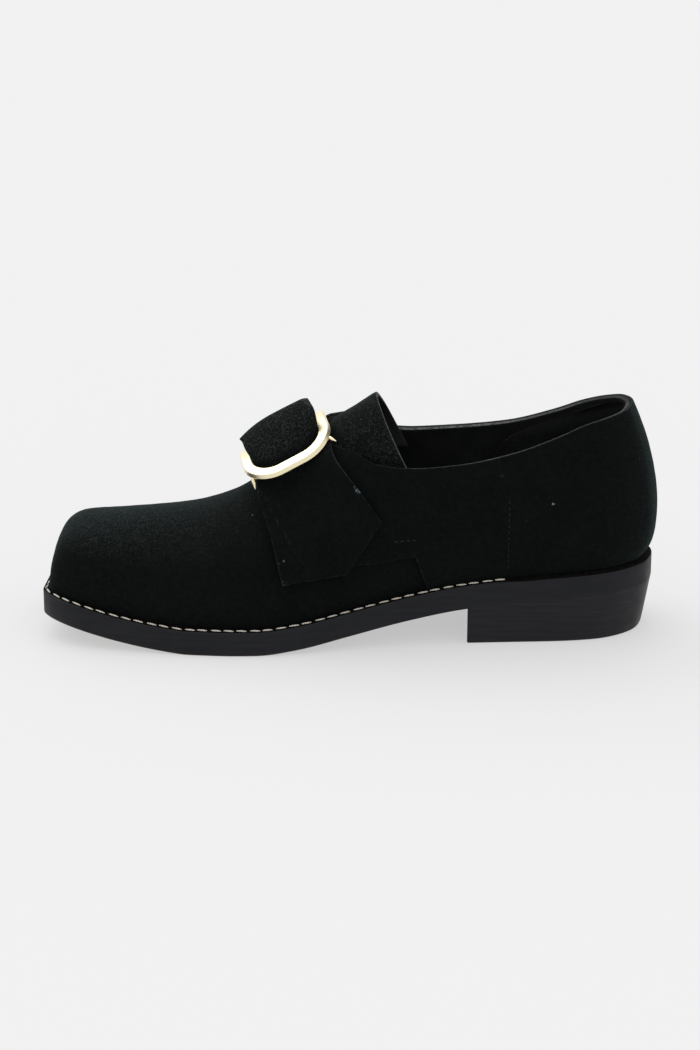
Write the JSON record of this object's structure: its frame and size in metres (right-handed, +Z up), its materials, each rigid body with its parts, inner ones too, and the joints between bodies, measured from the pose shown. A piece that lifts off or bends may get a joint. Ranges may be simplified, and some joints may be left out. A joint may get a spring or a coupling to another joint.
{
  "type": "buckle shoe",
  "caption": "Left black suede buckle shoe with a square toe, latchets under a strap that stands up through an arched brass frame, stitched leather sole and low stacked heel",
  "frame": {"origin": "on the floor, under the middle of the shoe's bounding box", "axes": "+X runs from the toe to the heel along the foot, +Y to the inner (medial) side of the foot, +Z up"},
  "size_m": [0.298, 0.106, 0.1162],
  "materials": {
    "black_suede": "matt napped suede",
    "sole_leather": "smooth dyed leather edge",
    "lining_leather": "smooth black leather",
    "satin_brass": "pale satin brass"
  },
  "bodies": {
    "root": {"upper": "black_suede", "quarter_lateral": "black_suede", "quarter_medial": "black_suede", "tongue": "black_suede", "latchet_strap": "black_suede", "outsole": "sole_leather", "welt": "sole_leather", "heel_top_piece": "sole_leather", "heel_lift_1": "sole_leather", "heel_lift_2": "sole_leather", "heel_lift_3": "sole_leather", "insole": "lining_leather", "buckle_frame": "satin_brass", "buckle_leg_front": "satin_brass", "buckle_leg_rear": "satin_brass"}
  },
  "joints": []
}
